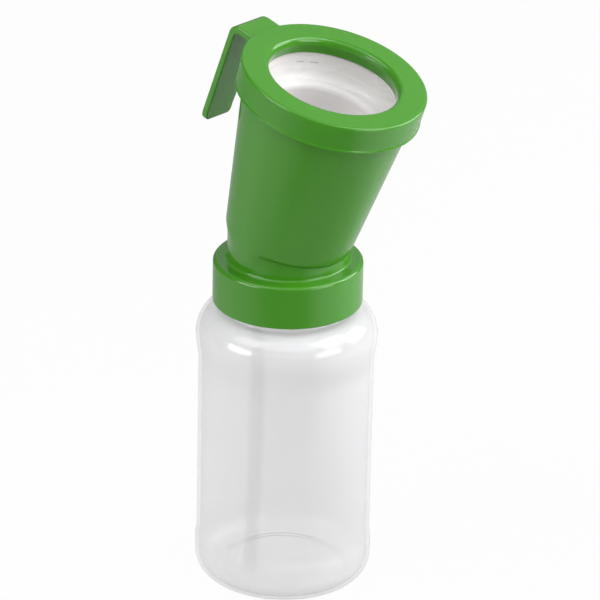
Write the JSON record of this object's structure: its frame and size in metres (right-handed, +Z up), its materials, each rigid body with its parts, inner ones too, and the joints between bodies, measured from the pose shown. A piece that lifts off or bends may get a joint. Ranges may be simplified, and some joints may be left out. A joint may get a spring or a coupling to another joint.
{
  "type": "teat dip cup",
  "caption": "Udder-hygiene dip cup: squeeze bottle with a screw-on leaning green cup, white non-return insert and a threaded retaining ring with a belt hook.",
  "frame": {"origin": "middle of the flat ring that the bottle stands on", "axes": "+Z up along the bottle's axis; the cup leans towards +X and the belt hook is on the -X side, turned 6.8 degrees about the cup's axis towards +Y; the XZ plane is the plane of symmetry apart from the hook, the threads and the dip tube's bend"},
  "size_m": [0.0884, 0.0676, 0.2101],
  "materials": {
    "bottle_plastic": "translucent natural polyethylene, softly frosted",
    "gasket_rubber": "flat matt sealing rubber",
    "green_plastic": "glossy injection-moulded green plastic",
    "tube_plastic": "cloudy flexible tube",
    "insert_plastic": "smooth white plastic",
    "ring_plastic": "glossy injection-moulded green plastic"
  },
  "bodies": {
    "bottle": {"bottle": "bottle_plastic"},
    "gasket": {"cap_gasket": "gasket_rubber"},
    "head": {"cup_head": "green_plastic", "dip_tube": "tube_plastic"},
    "insert": {"insert": "insert_plastic"},
    "ring": {"hook_ring": "ring_plastic"}
  },
  "joints": [
    {"name": "cap_lift", "type": "slide", "parent": "bottle", "child": "gasket", "axis": [0, 0, 1], "range_m": [0, 0.008]},
    {"name": "cap_turn", "type": "hinge", "parent": "gasket", "child": "head", "pos_m": [0, 0, 0.109], "axis": [0, 0, 1], "range_deg": [0, 720]},
    {"name": "insert_lift", "type": "slide", "parent": "head", "child": "insert", "axis": [0.2679, 0, 0.9634], "range_m": [0, 0.00375]},
    {"name": "ring_turn", "type": "hinge", "parent": "insert", "child": "ring", "pos_m": [0, 0, 0.135], "axis": [0.2679, 0, 0.9634], "range_deg": [0, 450]}
  ],
  "couplings": [
    {"joint": "cap_turn", "follows": "cap_lift", "rad_per_m": 1570.8},
    {"joint": "ring_turn", "follows": "insert_lift", "rad_per_m": 2094.4}
  ]
}
